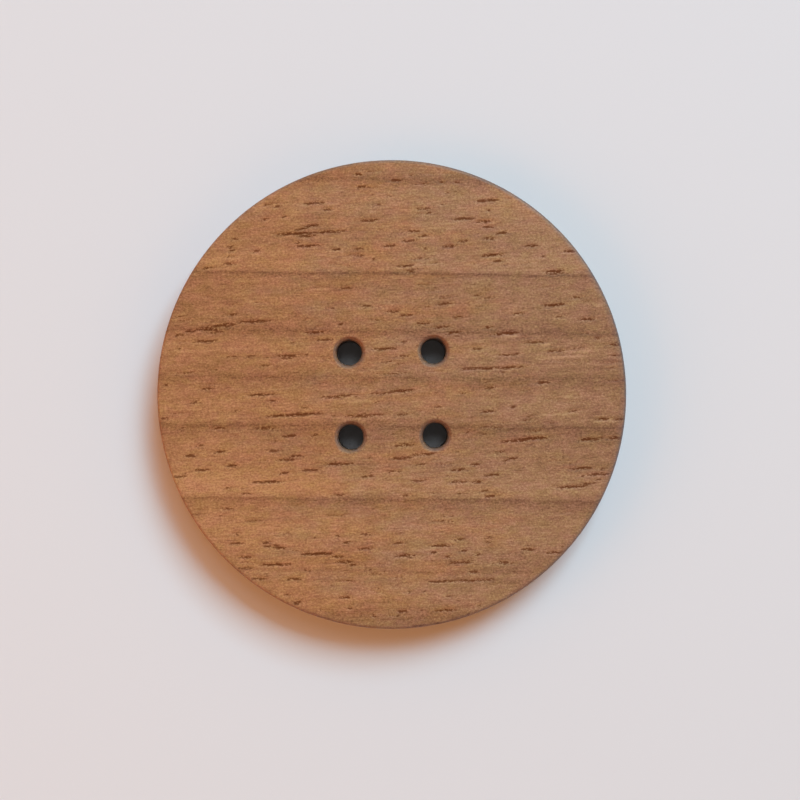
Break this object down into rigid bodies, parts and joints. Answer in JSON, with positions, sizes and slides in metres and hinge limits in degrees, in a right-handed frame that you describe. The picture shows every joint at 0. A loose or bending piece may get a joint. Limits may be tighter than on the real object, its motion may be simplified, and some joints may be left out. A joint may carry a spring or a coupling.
{
  "type": "wooden sewing button",
  "caption": "Large flat round sewing button cut from walnut board, with softened edges and thread holes set in a square about its centre.",
  "frame": {"origin": "centre of the flat back face, the one that lies on the cloth", "axes": "+Z out of the front face, along the disc's axis; +X along the grain and along one side of the square of thread holes"},
  "size_m": [0.05, 0.05, 0.005],
  "materials": {
    "walnut": "sanded and oiled, matt, open pores"
  },
  "bodies": {
    "root": {"wooden_button": "walnut"}
  },
  "joints": []
}
